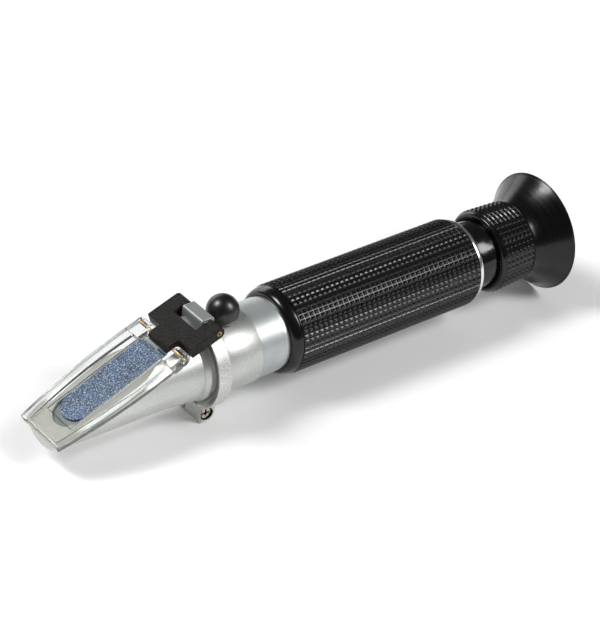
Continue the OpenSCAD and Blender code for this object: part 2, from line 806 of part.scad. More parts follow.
// The side walls and the front wall of the tray
module plate_rim() {
    intersection() {
        translate([0, 0, -plate_h]) linear_extrude(height = 2 * plate_h) difference() {
            plate_plan(0);
            intersection() {
                plate_plan(rim_w);
                translate([-plate_reach + rim_front_w, -plate_half_w])
                    square([plate_reach, 2 * plate_half_w]);
            }
        }
        rim_side(0, 2 * plate_half_w);
    }
}

// The lugs have round backs about the hinge axis, and a gap between them for the arm's tongue
module plate_lugs() {
    intersection() {
        translate([0, 0, -plate_h]) linear_extrude(height = 2 * plate_h) difference() {
            plate_plan(0);
            translate([-plate_reach, -lug_gap_half_w]) square([2 * plate_reach, 2 * lug_gap_half_w]);
        }
        union() {
            cross_rod(2 * plate_half_w, plate_h);
            centred_box(-lug_len, 0, 2 * plate_half_w, -plate_h, plate_h);
        }
    }
}

module calibration_bush() {
    bottom_z = objective_bore_r + 2 * seat_gap;
    color("goldenrod") seated() at_screw() difference() {
        union() {
            translate([0, 0, bottom_z]) cylinder(h = bush_seat_z - bottom_z + seat_gap, r = bush_r);
            translate([0, 0, bush_seat_z + seat_gap]) cylinder(h = bush_h, r = bush_collar_r);
        }
        cylinder(h = 2 * ring_r, r = cal_screw_r + run_gap);
    }
}

module calibration_screw() {
    tip_z = carrier_r + cal_tip_gap;
    head_z = bush_seat_z + bush_h + 2 * seat_gap;
    slot_w = cal_head_r * slot_w_share;
    color("lightgray") seated() at_screw() difference() {
        union() {
            translate([0, 0, tip_z]) cylinder(h = head_z - tip_z, r = cal_screw_r);
            translate([0, 0, head_z]) cylinder(h = cal_head_h, r = cal_head_r);
        }
        translate([0, 0, head_z + cal_head_h])
            cube([4 * cal_head_r, slot_w, 2 * cal_head_h * slot_depth_share], center = true);
    }
}

// Rubber ball that pushes over the bush
module calibration_cap() {
    ball_z = collar_rear_r + cap_lift;
    hollow_top_z = bush_seat_z + bush_h + cal_head_h + 2 * seat_gap + air_gap;
    color("#1d1b1b") seated() difference() {
        at_screw() translate([0, 0, ball_z]) sphere(r = cap_r);
        at_screw() cylinder(h = hollow_top_z, r = bush_collar_r + run_gap);
        rod(collar_x, collar_len, collar_rear_r + air_gap / 2);
    }
}

module lens_carrier() {
    color("dimgray") seated() difference() {
        turned([
            [carrier_bore_r - carrier_lip, carrier_x],
            [carrier_r, carrier_x],
            [carrier_r, carrier_x + carrier_w],
            [carrier_bore_r, carrier_x + carrier_w],
            [carrier_bore_r, carrier_x + carrier_lip],
            [carrier_bore_r - carrier_lip, carrier_x + carrier_lip]
        ]);
        centred_box(carrier_x - overrun, carrier_x + carrier_w + overrun, strip_half_w + seat_gap,
            -carrier_r - overrun, -strip_h + strip_t / 2 + seat_gap);
    }
}

module objective_lens() {
    color("powderblue", 0.5) seated()
        lens(carrier_x + carrier_lip + seat_gap / 2, objective_t, carrier_bore_r - seat_gap, objective_face_r);
}

module lens_retainer() {
    ring_place = carrier_x + carrier_lip + objective_t - lens_ring_w / 2;
    color("black") seated()
        tube(ring_place, lens_ring_w, carrier_bore_r - seat_gap / 2, carrier_bore_r - carrier_lip);
}

module compensation_strip() {
    end_x = strip_screw_pitch / 2 + 2 * strip_screw_r;
    color("darkkhaki") seated() at_strip() difference() {
        centred_box(carrier_x - strip_pivot_x, end_x, strip_half_w, -strip_t / 2, strip_t / 2);
        for (side = [-1, 1])
            translate([side * strip_screw_pitch / 2, 0, -strip_t])
                cylinder(h = 2 * strip_t, r = strip_screw_r + 2 * strip_play);
    }
}

// Two small screws that clamp the strip to the tube's pad
module strip_screws() {
    head_z = strip_t / 2 + strip_play;
    color("lightgray") seated() at_strip() for (side = [-1, 1])
        translate([side * strip_screw_pitch / 2, 0, 0]) difference() {
            union() {
                translate([0, 0, head_z]) cylinder(h = strip_t, r = strip_head_r);
                translate([0, 0, -strip_t - strip_play]) cylinder(h = strip_t + strip_play + head_z,
                    r = strip_screw_r);
            }
            translate([0, 0, head_z + strip_t])
                cube([4 * strip_head_r, strip_head_r * slot_w_share, 2 * strip_t * slot_depth_share],
                    center = true);
        }
}

module main_tube() {
    outside = [
        [tube_bore_r - 2 * air_gap, label_x - tube_spigot_len],
        [objective_bore_r - seat_gap, label_x - tube_spigot_len],
        [objective_bore_r - seat_gap, label_x + seat_gap],
        [tube_r, label_x + seat_gap],
        [tube_r, end_ring_x],
        [end_thread_r, end_ring_x],
        [end_thread_r, end_ring_x + end_thread_len],
        [tube_bore_r, end_ring_x + end_thread_len],
        [tube_bore_r, label_x],
        [tube_bore_r - 2 * air_gap, label_x]
    ];
    pad_half_len = strip_screw_pitch;
    color("silver") seated() {
        difference() {
            union() {
                turned(outside);
                intersection() {
                    rod(label_x, grip_len, tube_bore_r + tube_wall / 2);
                    at_strip() centred_box(-pad_half_len, pad_half_len, strip_half_w + strip_t, -tube_r,
                        -strip_t / 2 - strip_play);
                }
            }
            at_strip() for (side = [-1, 1])
                translate([side * strip_screw_pitch / 2, 0, -strip_t - 2 * strip_play])
                    cylinder(h = tube_r, r = strip_screw_r + seat_gap);
        }
    }
}

module label_band() {
    color("gainsboro") seated()
        tube(label_x + 2 * seat_gap, label_len - 2 * seat_gap, tube_r + seat_gap + label_t, tube_r + seat_gap);
}

module grip_sleeve() {
    bore_r = tube_r + seat_gap;
    band = flare(grip_x, grip_x + grip_band_len, grip_lip_r, grip_band_r, grip_bend_share);
    color("#232123") seated() turned(concat([[bore_r, grip_x]], band, [
        [grip_r, grip_x + grip_band_len + grip_step],
        [grip_r, end_ring_x - grip_step],
        [grip_band_r, end_ring_x - seat_gap],
        [bore_r, end_ring_x - seat_gap]
    ]));
}

module grip_end_ring() {
    color("white") seated() turned([
        [end_thread_r + seat_gap, end_ring_x],
        [end_ring_r, end_ring_x],
        [end_ring_r, neck_x - end_ring_chamfer],
        [end_ring_r - end_ring_chamfer, neck_x],
        [tube_bore_r, neck_x],
        [tube_bore_r, end_ring_x + end_thread_len + seat_gap],
        [end_thread_r + seat_gap, end_ring_x + end_thread_len + seat_gap]
    ]);
}

module scale_holder() {
    r = tube_bore_r - seat_gap;
    bore_r = r - scale_holder_wall;
    color("dimgray") seated() turned([
        [bore_r - scale_holder_wall, scale_x],
        [r, scale_x],
        [r, scale_x + scale_holder_w],
        [bore_r, scale_x + scale_holder_w],
        [bore_r, scale_x + scale_holder_wall],
        [bore_r - scale_holder_wall, scale_x + scale_holder_wall]
    ]);
}

module scale_disc() {
    color("powderblue", 0.5) seated()
        rod(scale_x + scale_holder_wall + seat_gap, scale_t, tube_bore_r - scale_holder_wall - 2 * seat_gap);
}

module scale_retainer() {
    r = tube_bore_r - scale_holder_wall - 2 * seat_gap;
    ring_place = scale_x + scale_holder_wall + scale_t + 2 * seat_gap;
    color("black") seated() tube(ring_place, scale_ring_w, r, r - scale_holder_wall);
}

module eyepiece_neck() {
    bore_r = barrel_r + run_gap;
    color("#1b1a1a") seated() difference() {
        turned([
            [bore_r, end_ring_x - neck_root_len],
            [neck_root_r, end_ring_x - neck_root_len],
            [neck_root_r, neck_x + seat_gap],
            [neck_r, neck_x + seat_gap],
            [neck_r, focus_x + neck_thread_len],
            [bore_r, focus_x + neck_thread_len]
        ]);
        translate([key_x, 0, 0]) mirror([0, 0, 1]) cylinder(h = tube_r, r = key_r + seat_gap / 2);
    }
}

// Peg in the neck that runs in the barrel's slot
module guide_key() {
    inner_z = barrel_bore_r + barrel_wall / 5;
    outer_z = tube_bore_r - 3 * seat_gap;
    color("lightgray") seated() translate([key_x, 0, -outer_z]) cylinder(h = outer_z - inner_z, r = key_r);
}

module lens_barrel() {
    lip_r = barrel_bore_r - barrel_lip;
    groove_x = web_x - seat_gap - clip_t;
    slot_half = focus_travel + air_gap + key_r;
    slot_half_w = key_r + run_gap;
    color("#2a2a2c") seated() difference() {
        turned([
            [lip_r, barrel_x],
            [barrel_r, barrel_x],
            [barrel_r, groove_x - seat_gap],
            [barrel_r - clip_groove, groove_x - seat_gap],
            [barrel_r - clip_groove, web_x - seat_gap],
            [barrel_r, web_x - seat_gap],
            [barrel_r, web_rear_x + seat_gap],
            [flange_r, web_rear_x + seat_gap],
            [flange_r, barrel_rear_x],
            [barrel_bore_r, barrel_rear_x],
            [barrel_bore_r, barrel_x + barrel_lip],
            [lip_r, barrel_x + barrel_lip]
        ]);
        centred_box(key_x - slot_half, key_x + slot_half, slot_half_w, -2 * barrel_r, -barrel_bore_r / 2);
    }
}

module field_lens() {
    color("powderblue", 0.5) seated()
        lens(field_lens_x + seat_gap, field_lens_t, barrel_bore_r - seat_gap, eye_face_r);
}

module lens_spacer() {
    r = barrel_bore_r - seat_gap;
    sag = eye_face_r - sqrt(eye_face_r * eye_face_r - r * r);
    start_x = field_lens_x + field_lens_t - sag + 2 * seat_gap;
    end_x = eye_lens_x + sag - seat_gap;
    color("black") seated() difference() {
        tube(start_x, end_x - start_x, r, r - spacer_wall);
        translate([field_lens_x + seat_gap + field_lens_t - eye_face_r, 0, 0])
            sphere(r = eye_face_r, $fn = fine_fn);
        translate([eye_lens_x + eye_face_r, 0, 0]) sphere(r = eye_face_r, $fn = fine_fn);
    }
}

module eye_lens() {
    color("powderblue", 0.5) seated()
        lens(eye_lens_x, eye_lens_t, barrel_bore_r - seat_gap, eye_face_r);
}

module eye_lens_retainer() {
    r = barrel_bore_r - seat_gap;
    color("black") seated() difference() {
        tube(eye_ring_x - eye_ring_w / 2, 3 / 2 * eye_ring_w, r, r - eye_ring_wall);
        translate([eye_lens_x + eye_lens_t - eye_face_r + seat_gap, 0, 0])
            sphere(r = eye_face_r, $fn = fine_fn);
    }
}

// Open ring in the barrel's groove, which keeps the focus ring on the barrel
module barrel_clip() {
    inner_r = barrel_r - clip_groove + seat_gap / 2;
    color("lightgray") seated() difference() {
        tube(web_x - seat_gap - clip_t, clip_t - seat_gap, clip_r, inner_r);
        centred_box(web_x - 2 * clip_t, web_x, inner_r / 2, inner_r / 2, 2 * clip_r);
    }
}

module focus_ring() {
    hub_rear_x = cup_x + hub_len;
    thread_bore_r = neck_r + run_gap;
    hub_bore_r = hub_r - hub_wall;
    web_bore_r = barrel_r + run_gap;
    color("#211f20") seated() turned([
        [thread_bore_r, focus_x],
        [focus_lip_r, focus_x],
        [focus_lip_r, focus_x + focus_lip_w],
        [focus_r, focus_x + 2 * focus_lip_w],
        [focus_rear_r, cup_x - seat_gap],
        [hub_r, cup_x - seat_gap],
        [hub_r, hub_rear_x],
        [hub_bore_r, hub_rear_x],
        [hub_bore_r, web_rear_x],
        [web_bore_r, web_rear_x],
        [web_bore_r, web_x],
        [thread_bore_r, web_x]
    ]);
}

module eyecup() {
    hub_rear_x = cup_x + hub_len + seat_gap;
    lip_x = hub_rear_x + cup_rim_wall;
    rim_x = total_len - cup_rim_wall / 2;
    outside = flare(cup_x, rim_x, cup_waist_r, cup_rim_r, cup_outer_bend_share);
    inside = flare(lip_x, total_len, hub_r - cup_lip, cup_rim_r - cup_rim_wall, cup_inner_bend_share);
    color("#161415") seated() turned(concat(
        [[hub_r + seat_gap, cup_x]],
        outside,
        [[cup_rim_r - cup_rim_wall / 4, total_len]],
        reversed(inside),
        [[hub_r - cup_lip, hub_rear_x], [hub_r + seat_gap, hub_rear_x]]
    ));
}

front_body();
measuring_prism();
prism_seal();
light_stop();
objective_housing();
clamp_ring();
clamp_screw();
hinge_strap();
hinge_roll_pin();
hinge_arm();
plate_hinge_pin();
daylight_plate();
calibration_bush();
calibration_screw();
calibration_cap();
lens_carrier();
objective_lens();
lens_retainer();
compensation_strip();
strip_screws();
main_tube();
label_band();
grip_sleeve();
grip_end_ring();
scale_holder();
scale_disc();
scale_retainer();
eyepiece_neck();
guide_key();
lens_barrel();
field_lens();
lens_spacer();
eye_lens();
eye_lens_retainer();
barrel_clip();
focus_ring();
eyecup();
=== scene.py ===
import json
import math

import bpy
from mathutils import Matrix, Vector


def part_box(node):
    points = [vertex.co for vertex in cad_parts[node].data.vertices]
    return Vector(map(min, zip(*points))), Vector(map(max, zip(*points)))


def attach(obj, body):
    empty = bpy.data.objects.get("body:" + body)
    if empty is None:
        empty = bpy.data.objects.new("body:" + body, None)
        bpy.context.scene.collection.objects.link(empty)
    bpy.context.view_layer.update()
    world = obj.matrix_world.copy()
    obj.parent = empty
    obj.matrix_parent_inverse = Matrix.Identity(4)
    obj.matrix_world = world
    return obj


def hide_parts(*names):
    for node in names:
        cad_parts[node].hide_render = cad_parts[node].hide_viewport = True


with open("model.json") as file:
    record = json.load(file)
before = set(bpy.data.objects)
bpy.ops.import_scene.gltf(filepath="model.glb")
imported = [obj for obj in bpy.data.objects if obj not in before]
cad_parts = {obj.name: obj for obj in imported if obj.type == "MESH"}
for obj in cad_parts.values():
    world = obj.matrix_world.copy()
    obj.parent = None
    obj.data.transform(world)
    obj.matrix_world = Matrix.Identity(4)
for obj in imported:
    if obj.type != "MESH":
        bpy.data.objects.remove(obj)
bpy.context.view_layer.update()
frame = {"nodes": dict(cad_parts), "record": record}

# Lengths are in metres, as in the frame. Names that end in _mm, radii and outlines are in mm.
MM = 0.001
tube_low, tube_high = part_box("main_tube")
AXIS_Z = (tube_low.z + tube_high.z) / 2
DECK_ANGLE = math.radians(23)

# Points of a mesh that are closer than this are merged
SAME_POINT = 0.001 * MM

# Between which values of a pattern a look changes: over nearly all of a mottled pattern, over its
# middle for a harder grain, and for a mask, which is only 0 or 1
WHOLE_RANGE = (0.3, 0.7)
HARD_GRAIN = (0.35, 0.65)
MASK = (0, 1)


# Colours and shader nodes

def colour(code):
    """A hex colour as it is seen on a screen, turned to the linear values that shaders use."""
    values = [int(code[i:i + 2], 16) / 255 for i in (1, 3, 5)]
    linear = [v / 12.92 if v <= 0.04045 else ((v + 0.055) / 1.055) ** 2.4 for v in values]
    return (*linear, 1.0)


def feed(tree, socket, value):
    """Joins a socket to what another node gives, or sets it to a plain value or a hex colour."""
    if isinstance(value, bpy.types.NodeSocket):
        tree.links.new(value, socket)
    elif isinstance(value, str):
        socket.default_value = colour(value)
    else:
        socket.default_value = value


def add(tree, kind, inputs=None, **settings):
    """Adds a node, sets it and feeds its inputs."""
    new = tree.nodes.new(kind)
    for name, value in settings.items():
        setattr(new, name, value)
    for name, value in (inputs or {}).items():
        feed(tree, new.inputs[name], value)
    return new


def begin(name):
    """A new material, its tree, and the place on the piece that its patterns follow."""
    material = bpy.data.materials.new(name)
    material.use_nodes = True
    tree = material.node_tree
    return material, tree, add(tree, "ShaderNodeTexCoord").outputs["Object"]


def coat(material, looks):
    """Feeds a material's shader, socket by socket."""
    tree = material.node_tree
    for name, value in looks.items():
        feed(tree, tree.nodes["Principled BSDF"].inputs[name], value)
    return material


def mottle(tree, place, size_mm, detail=2.0, roughness=0.5, drawn_out=(1, 1, 1)):
    """A pattern of blots about size_mm across, drawn out so many times along each axis."""
    scaled = add(tree, "ShaderNodeMapping", {"Vector": place, "Scale": [1 / times for times in drawn_out]})
    return add(tree, "ShaderNodeTexNoise", {
        "Vector": scaled.outputs["Vector"],
        "Scale": 1 / (size_mm * MM),
        "Detail": detail,
        "Roughness": roughness,
    }).outputs["Fac"]


def shades(tree, pattern, first, second, between=WHOLE_RANGE):
    """Goes from the first colour to the second as a pattern goes between two values."""
    share = add(tree, "ShaderNodeMapRange", {
        "Value": pattern, "From Min": between[0], "From Max": between[1]}).outputs["Result"]
    return add(tree, "ShaderNodeMix", {0: share, 6: first, 7: second}, data_type="RGBA").outputs[2]


def gloss(tree, pattern, smooth, rough):
    """A roughness that goes from smooth to rough with a pattern."""
    return add(tree, "ShaderNodeMapRange", {
        "Value": pattern, "From Min": WHOLE_RANGE[0], "From Max": WHOLE_RANGE[1],
        "To Min": smooth, "To Max": rough}).outputs["Result"]


def relief(tree, pattern, depth_mm):
    """A surface into which a pattern is sunk, depth_mm deep."""
    return add(tree, "ShaderNodeBump", {"Height": pattern, "Distance": depth_mm * MM}).outputs["Normal"]


def let_light_through(material, clearness):
    """Lets this share of the light through in shadows, so that what lies behind is lit."""
    tree = material.node_tree
    shadow = add(tree, "ShaderNodeLightPath").outputs["Is Shadow Ray"]
    clear = add(tree, "ShaderNodeBsdfTransparent", {"Color": (clearness, clearness, clearness, 1)})
    shader = tree.nodes["Principled BSDF"]
    both = add(tree, "ShaderNodeMixShader", {0: shadow, 1: shader.outputs[0], 2: clear.outputs[0]})
    feed(tree, tree.nodes["Material Output"].inputs["Surface"], both.outputs[0])


# Places and distances that the materials follow

def on_deck(tree, place):
    """1 on the slanting face under the daylight plate, which is level with the prism, 0 further down."""
    up = (-math.sin(DECK_ANGLE), 0, math.cos(DECK_ANGLE))
    prism_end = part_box("measuring_prism")[1]
    deck = up[0] * prism_end.x + up[2] * prism_end.z
    edge, blur = deck - 0.3 * MM, 0.05 * MM
    height = add(tree, "ShaderNodeVectorMath", {0: place, 1: up}, operation="DOT_PRODUCT").outputs["Value"]
    return add(tree, "ShaderNodeMapRange", {
        "Value": height, "From Min": edge - blur, "From Max": edge + blur}).outputs["Result"]


def in_rod(tree, place, centre, radius_mm, half_mm):
    """1 in a short rod that lies across the barrel, half_mm to each side of its centre, and 0 outside."""
    offset = add(tree, "ShaderNodeVectorMath", {0: place, 1: centre}, operation="SUBTRACT").outputs[0]
    inside = []
    for ways, reach_mm in (((1, 0, 1), radius_mm), ((0, 1, 0), half_mm)):
        part = add(tree, "ShaderNodeVectorMath", {0: offset, 1: ways}, operation="MULTIPLY").outputs[0]
        away = add(tree, "ShaderNodeVectorMath", {0: part}, operation="LENGTH").outputs["Value"]
        near = add(tree, "ShaderNodeMath", {0: away, 1: reach_mm * MM}, operation="LESS_THAN").outputs[0]
        inside.append(near)
    return add(tree, "ShaderNodeMath", {0: inside[0], 1: inside[1]}, operation="MULTIPLY").outputs[0]


def at_screw_head(tree, place, depth_mm, radius_mm, half_mm):
    """1 in a short rod on the clamp screw's axis, with its centre depth_mm in from the head's face."""
    low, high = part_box("clamp_screw")
    centre = ((low.x + high.x) / 2, low.y + depth_mm * MM, (low.z + high.z) / 2)
    return in_rod(tree, place, centre, radius_mm, half_mm)


def from_axis(tree, place):
    """The distance from the barrel's axis."""
    offset = add(tree, "ShaderNodeVectorMath", {0: place, 1: (0, 0, AXIS_Z)}, operation="SUBTRACT")
    across = add(tree, "ShaderNodeVectorMath", {0: offset.outputs[0], 1: (0, 1, 1)}, operation="MULTIPLY")
    return add(tree, "ShaderNodeVectorMath", {0: across.outputs[0]}, operation="LENGTH").outputs["Value"]


# Materials

def satin_aluminium():
    """Machined aluminium, fine blasted and clear anodised: pale, with a soft sheen and a fine grain.
    The deck, milled after that, is painted darker and greyer, a painted shade for the dim light that it
    reflects, and a little blue cement has run out behind the prism. The grain is drawn at 0.3 mm, coarser
    than it is, so that it shows."""
    material, tree, place = begin("aluminium_blasted_anodised")
    grain = mottle(tree, place, size_mm=0.3, detail=3.0, roughness=0.7)
    anodised = shades(tree, mottle(tree, place, size_mm=9.0, detail=3.0), "#D0D2CF", "#DDDED9")
    blasted = shades(tree, grain, "#B9BBB8", anodised, HARD_GRAIN)
    # Painted shade: the deck's colour is darker and greyer for the dim light that it reflects.
    deck_shade = shades(tree, grain, "#7E7E77", "#93928A", HARD_GRAIN)
    metal = shades(tree, on_deck(tree, place), blasted, deck_shade, MASK)
    prism_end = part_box("measuring_prism")[1]
    corner = (prism_end.x + 0.6 * MM, -3.4 * MM, prism_end.z)
    run_out = in_rod(tree, place, corner, radius_mm=1.1, half_mm=2.2)
    return coat(material, {
        "Metallic": 0.8,
        "Base Color": shades(tree, run_out, metal, "#05173F", MASK),
        "Roughness": gloss(tree, grain, smooth=0.34, rough=0.5),
        "Normal": relief(tree, grain, depth_mm=0.02),
    })


def silver_label():
    """Silver foil under a clear film: a cool even grey, almost without grain."""
    material, tree, place = begin("foil_silver_laminated")
    return coat(material, {
        "Metallic": 0.6,
        "Base Color": shades(tree, mottle(tree, place, size_mm=6.0), "#AEB4B4", "#BBC0C0"),
        "Roughness": 0.42,
        "Coat Weight": 0.15,
    })


def bright_ring():
    """Turned and polished aluminium: nearly white, with fine turning lines round the barrel. They are
    drawn at 0.12 mm, coarser than they are, so that they show."""
    material, tree, place = begin("aluminium_turned_polished")
    lines = mottle(tree, place, size_mm=0.12, detail=1.0, drawn_out=(1, 60, 60))
    return coat(material, {
        "Metallic": 1.0,
        "Base Color": "#E6E6E4",
        "Roughness": gloss(tree, lines, smooth=0.14, rough=0.26),
        "Normal": relief(tree, lines, depth_mm=0.004),
    })


def die_cast():
    """Die-cast zinc, tumbled: a coarser grain than the aluminium beside it. The ring's front face has a
    painted shade in its upper part, and the counterbore round the screw's head holds a painted shadow.
    The grain is drawn at 0.45 mm, coarser than it is, so that it shows."""
    material, tree, place = begin("zinc_die_cast_tumbled")
    grain = mottle(tree, place, size_mm=0.45, detail=3.0, roughness=0.7)
    tumbled = shades(tree, grain, "#B6B7B4", "#E6E7E4", HARD_GRAIN)
    # Painted shade: the ring's front face, inside the rim and above the ears, is drawn dark.
    face_shade = shades(tree, grain, "#5C5D5F", "#7E7F80", HARD_GRAIN)
    parts = add(tree, "ShaderNodeSeparateXYZ", {"Vector": place}).outputs
    front_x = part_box("clamp_ring")[0].x
    behind_face = (front_x + 0.22 * MM, front_x + 0.34 * MM)
    round_rim = (14.9 * MM, 15.1 * MM)
    down_ears = (AXIS_Z - 7 * MM, AXIS_Z - 12 * MM)
    out_of_shade = 0.0
    for distance, (start, end) in (
            (parts["X"], behind_face), (from_axis(tree, place), round_rim), (parts["Z"], down_ears)):
        share = add(tree, "ShaderNodeMapRange", {"Value": distance, "From Min": start, "From Max": end})
        out_of_shade = add(tree, "ShaderNodeMath", {0: out_of_shade, 1: share.outputs["Result"]},
                      operation="MAXIMUM").outputs[0]
    metal = shades(tree, out_of_shade, face_shade, tumbled, MASK)
    # Painted shadow in the counterbore round the screw's head.
    counterbore_shade = at_screw_head(tree, place, depth_mm=0, radius_mm=2.25, half_mm=0.58)
    return coat(material, {
        "Metallic": 0.8,
        "Base Color": shades(tree, counterbore_shade, metal, "#1C1A18", MASK),
        "Roughness": gloss(tree, grain, smooth=0.36, rough=0.56),
        "Normal": relief(tree, grain, depth_mm=0.06),
    })


def plated_steel():
    """Nickel-plated steel screws: bright, slightly warm, with faint smears, and a painted shade in the
    cross slot.
    """
    material, tree, place = begin("steel_nickel_plated")
    # Painted shade in the cross slot of the screw's head.
    slot_shade = at_screw_head(tree, place, depth_mm=0.8, radius_mm=1.25, half_mm=0.68)
    smears = mottle(tree, place, size_mm=0.8, detail=3.0)
    return coat(material, {
        "Metallic": 0.9,
        "Base Color": shades(tree, slot_shade, "#DCC8B9", "#15110F", MASK),
        "Roughness": gloss(tree, smears, smooth=0.18, rough=0.34),
    })


def strap_steel():
    """Bent spring-steel sheet: rolled lines along the strip and a half gloss."""
    material, tree, place = begin("steel_rolled_sheet")
    lines = mottle(tree, place, size_mm=0.3, drawn_out=(1, 12, 1))
    return coat(material, {
        "Metallic": 0.5,
        "Base Color": "#A0A3A3",
        "Roughness": gloss(tree, lines, smooth=0.3, rough=0.4),
        "Normal": relief(tree, lines, depth_mm=0.002),
    })


def pin_brass():
    """Drawn brass wire: warm, a little dulled."""
    material, tree, place = begin("brass_drawn")
    dulling = mottle(tree, place, size_mm=0.7, detail=3.0)
    return coat(material, {
        "Metallic": 1.0,
        "Base Color": shades(tree, dulling, "#B08A50", "#D9B578", HARD_GRAIN),
        "Roughness": 0.3,
    })


def black_moulding():
    """Moulded black nylon with a spark-eroded grain: matt, with small pale specks. The grain is drawn at
    0.6 mm, coarser than it is, so that it shows."""
    material, tree, place = begin("nylon_black_moulded")
    grain = mottle(tree, place, size_mm=0.6, detail=3.0, roughness=0.65)
    return coat(material, {
        "Base Color": shades(tree, grain, "#030303", "#2B2826", between=(0.4, 0.62)),
        "Roughness": gloss(tree, grain, smooth=0.36, rough=0.6),
        "Specular IOR Level": 0.22,
        "Normal": relief(tree, grain, depth_mm=0.6),
    })


def worn_black(name):
    """A black moulding worn half glossy by hands: a slightly uneven black and gloss."""
    material, tree, place = begin(name)
    stains = mottle(tree, place, size_mm=2.5, detail=3.0)
    wear = mottle(tree, place, size_mm=0.7)
    return coat(material, {
        "Base Color": shades(tree, stains, "#040303", "#0A0808"),
        "Roughness": gloss(tree, wear, smooth=0.16, rough=0.24),
        "Specular IOR Level": 0.46,
    })


def grip_rubber():
    """Moulded nitrile rubber: almost black, half glossy on its small faces."""
    return worn_black("rubber_nitrile_moulded")


def focus_plastic():
    """Moulded black plastic of the focus ring, which has the sheen of the grip."""
    return worn_black("abs_black_moulded")


def eyecup_rubber():
    """Soft moulded rubber: smooth black with faint turned lines from its mould."""
    material, tree, place = begin("rubber_soft_moulded")
    lines = mottle(tree, place, size_mm=0.35, drawn_out=(1, 40, 40))
    return coat(material, {
        "Base Color": "#030202",
        "Roughness": gloss(tree, lines, smooth=0.19, rough=0.3),
        "Specular IOR Level": 0.38,
        "Normal": relief(tree, lines, depth_mm=0.012),
    })


def cap_rubber():
    """Moulded rubber of the ball cap: black, dulled by a fine bloom on the surface."""
    material, tree, place = begin("rubber_moulded_dull")
    bloom = mottle(tree, place, size_mm=0.5, detail=4.0)
    return coat(material, {
        "Base Color": shades(tree, bloom, "#090808", "#121010"),
        "Roughness": gloss(tree, bloom, smooth=0.29, rough=0.39),
        "Specular IOR Level": 0.62,
    })


def gloss_black():
    """Moulded and polished black plastic of the neck: glossy, with faint wear."""
    material, tree, place = begin("abs_black_glossy")
    wear = mottle(tree, place, size_mm=1.5, detail=3.0)
    return coat(material, {
        "Base Color": "#0A0909",
        "Roughness": gloss(tree, wear, smooth=0.12, rough=0.22),
        "Specular IOR Level": 0.4,
    })


def black_anodised():
    """Black anodised aluminium inside the barrel: dull, so that it throws no stray light."""
    material, tree, place = begin("aluminium_black_anodised")
    grain = mottle(tree, place, size_mm=0.15)
    return coat(material, {
        "Metallic": 0.4,
        "Base Color": "#19191A",
        "Roughness": gloss(tree, grain, smooth=0.48, rough=0.62),
    })


def clear_acrylic():
    """Cast and polished acrylic: clear, with a cool tint. Light passes it to what lies below."""
    material, tree, place = begin("acrylic_clear_polished")
    haze = mottle(tree, place, size_mm=2.0, detail=3.0)
    coat(material, {
        "Base Color": "#F7F9F9",
        "Roughness": gloss(tree, haze, smooth=0.0, rough=0.02),
        "IOR": 1.49,
        "Transmission Weight": 1.0,
    })
    let_light_through(material, 0.92)
    return material


def lens_glass():
    """Polished crown glass with a faint blue coating."""
    material = begin("glass_crown_coated")[0]
    coat(material, {"Base Color": "#EEF4F8", "Roughness": 0.01, "IOR": 1.52, "Transmission Weight": 1.0})
    let_light_through(material, 0.9)
    return material


def prism_face():
    """The prism on its blue cement, under a frosted pad: blue with pale and dark speckle. It is drawn
    at 0.45 and 0.32 mm, coarser than it is, so that it shows."""
    material, tree, place = begin("glass_on_blue_cement")
    pale_speckle = mottle(tree, place, size_mm=0.45, roughness=0.8)
    dark_speckle = mottle(tree, place, size_mm=0.32, detail=1.0, roughness=0.6)
    blue = shades(tree, mottle(tree, place, size_mm=5.0), "#0A2646", "#173E66", HARD_GRAIN)
    speckled = shades(tree, pale_speckle, blue, "#93A1AD", between=(0.5, 0.58))
    return coat(material, {
        "Base Color": shades(tree, dark_speckle, "#04142C", speckled, between=(0.45, 0.51)),
        "Roughness": 0.4,
        "Specular IOR Level": 0.4,
        "Normal": relief(tree, pale_speckle, depth_mm=0.004),
    })


def blue_cement():
    """Cement that holds the prism: dark grey in front, deep blue where it is thick behind the prism."""
    material, tree, place = begin("cement_dark_blue")
    lumps = mottle(tree, place, size_mm=0.6, detail=3.0)
    grey = shades(tree, lumps, "#464B4B", "#616664")
    blue = shades(tree, lumps, "#0C1C55", "#16307A")
    along = add(tree, "ShaderNodeSeparateXYZ", {"Vector": place}).outputs["X"]
    prism_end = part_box("measuring_prism")[1]
    thickening = (prism_end.x - 6 * MM, prism_end.x - 2 * MM)
    return coat(material, {
        "Base Color": shades(tree, along, grey, blue, thickening),
        "Roughness": 0.4,
    })


def bimetal():
    """Rolled bimetal strip: warm grey, with lines along it."""
    material, tree, place = begin("bimetal_rolled")
    lines = mottle(tree, place, size_mm=0.2, drawn_out=(20, 1, 1))
    return coat(material, {
        "Metallic": 1.0,
        "Base Color": "#B7A27C",
        "Roughness": gloss(tree, lines, smooth=0.28, rough=0.42),
    })


# The finish of each slot, and the slot of each node

FINISHES = {
    "satin_aluminium": satin_aluminium(),
    "label_foil": silver_label(),
    "bright_ring": bright_ring(),
    "die_cast_ring": die_cast(),
    "screw_steel": plated_steel(),
    "strap_steel": strap_steel(),
    "pin_brass": pin_brass(),
    "bimetal": bimetal(),
    "black_moulding": black_moulding(),
    "focus_plastic": focus_plastic(),
    "neck_plastic": gloss_black(),
    "black_anodised": black_anodised(),
    "clear_acrylic": clear_acrylic(),
    "prism_glass": prism_face(),
    "seal_compound": blue_cement(),
    "lens_glass": lens_glass(),
    "grip_rubber": grip_rubber(),
    "eyecup_rubber": eyecup_rubber(),
    "cap_rubber": cap_rubber(),
}
SLOTS = {row["node"]: row["material_slot"] for row in frame["record"]["subparts"]}


